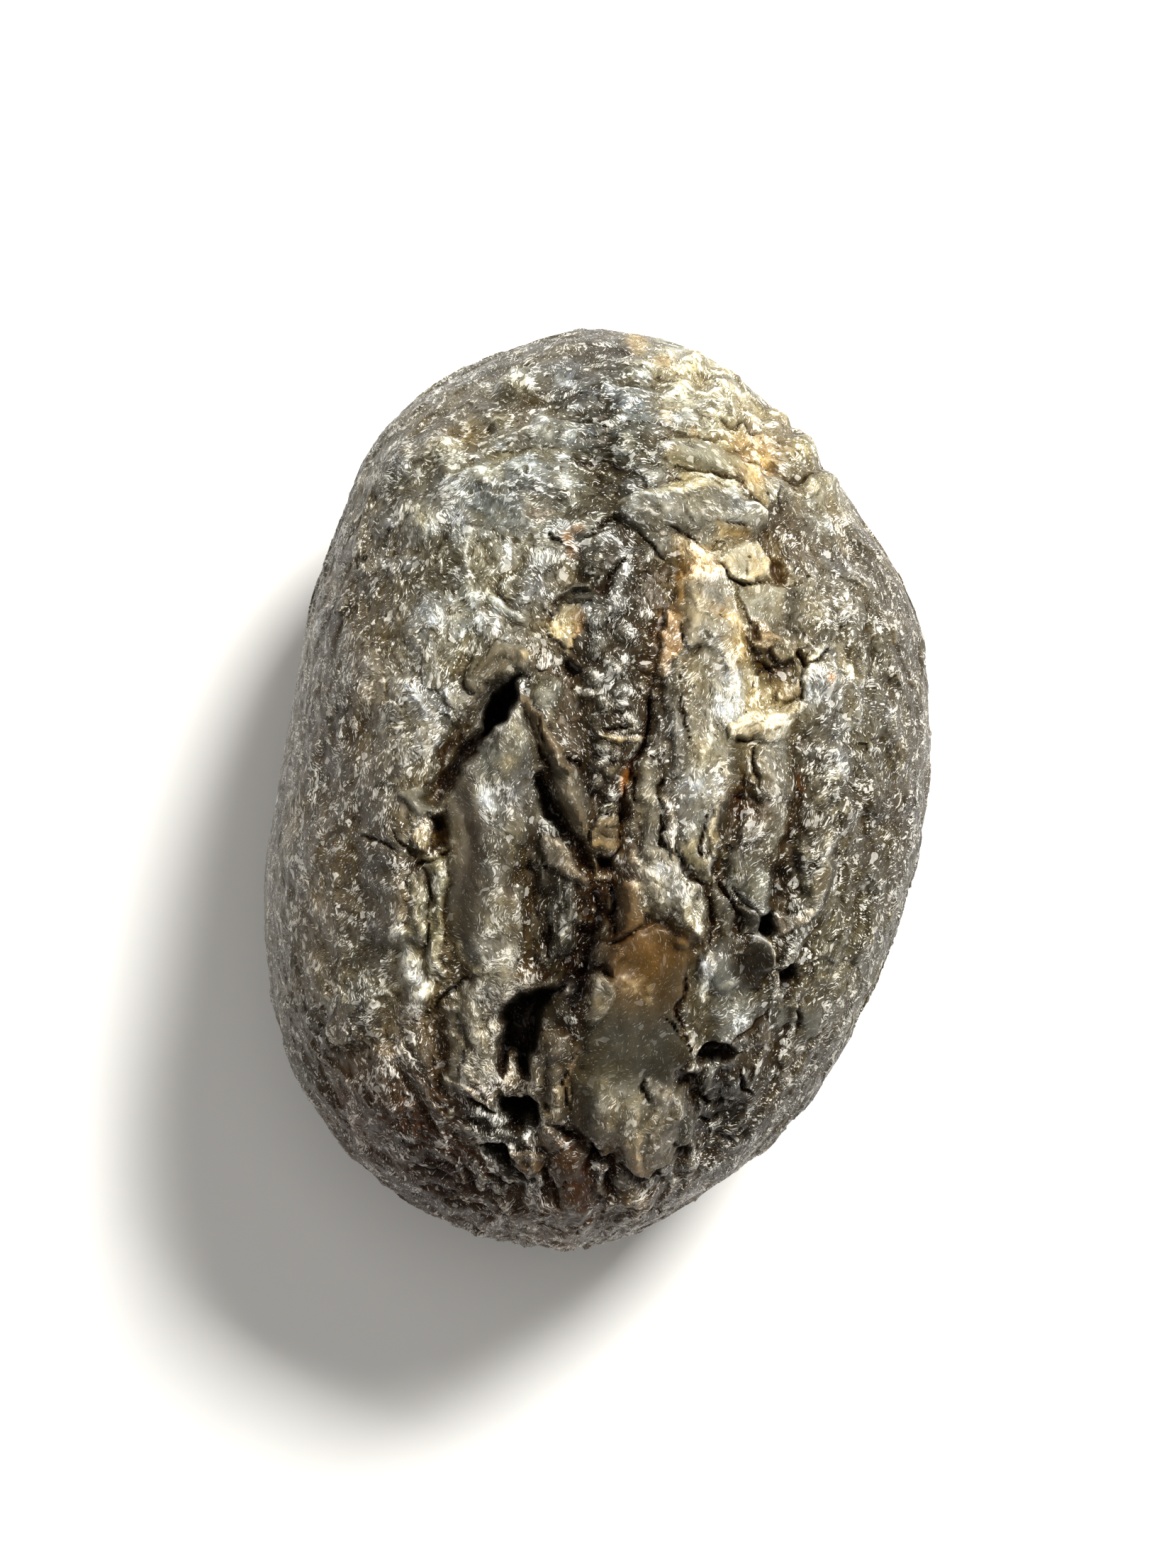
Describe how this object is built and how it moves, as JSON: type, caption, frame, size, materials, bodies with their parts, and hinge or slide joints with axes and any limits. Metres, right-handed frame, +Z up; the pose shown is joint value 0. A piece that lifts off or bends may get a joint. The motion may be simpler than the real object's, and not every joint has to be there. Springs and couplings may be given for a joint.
{
  "type": "obsidian cobble",
  "caption": "Rough natural obsidian cobble: a rounded dark grey rind broken open along one face into glassy plates, columns and deep hollows, resting on a small flat.",
  "frame": {"origin": "on the surface it rests on, under the middle of the stone's outline seen from above", "axes": "+Z up, out of the broken face; +Y along the stone's length, towards its pale grainy end; +X across it, towards the side with the earthy cracks"},
  "size_m": [0.0382, 0.0523, 0.0312],
  "materials": {
    "obsidian": "satin"
  },
  "bodies": {
    "root": {"obsidian_cobble": "obsidian"}
  },
  "joints": []
}
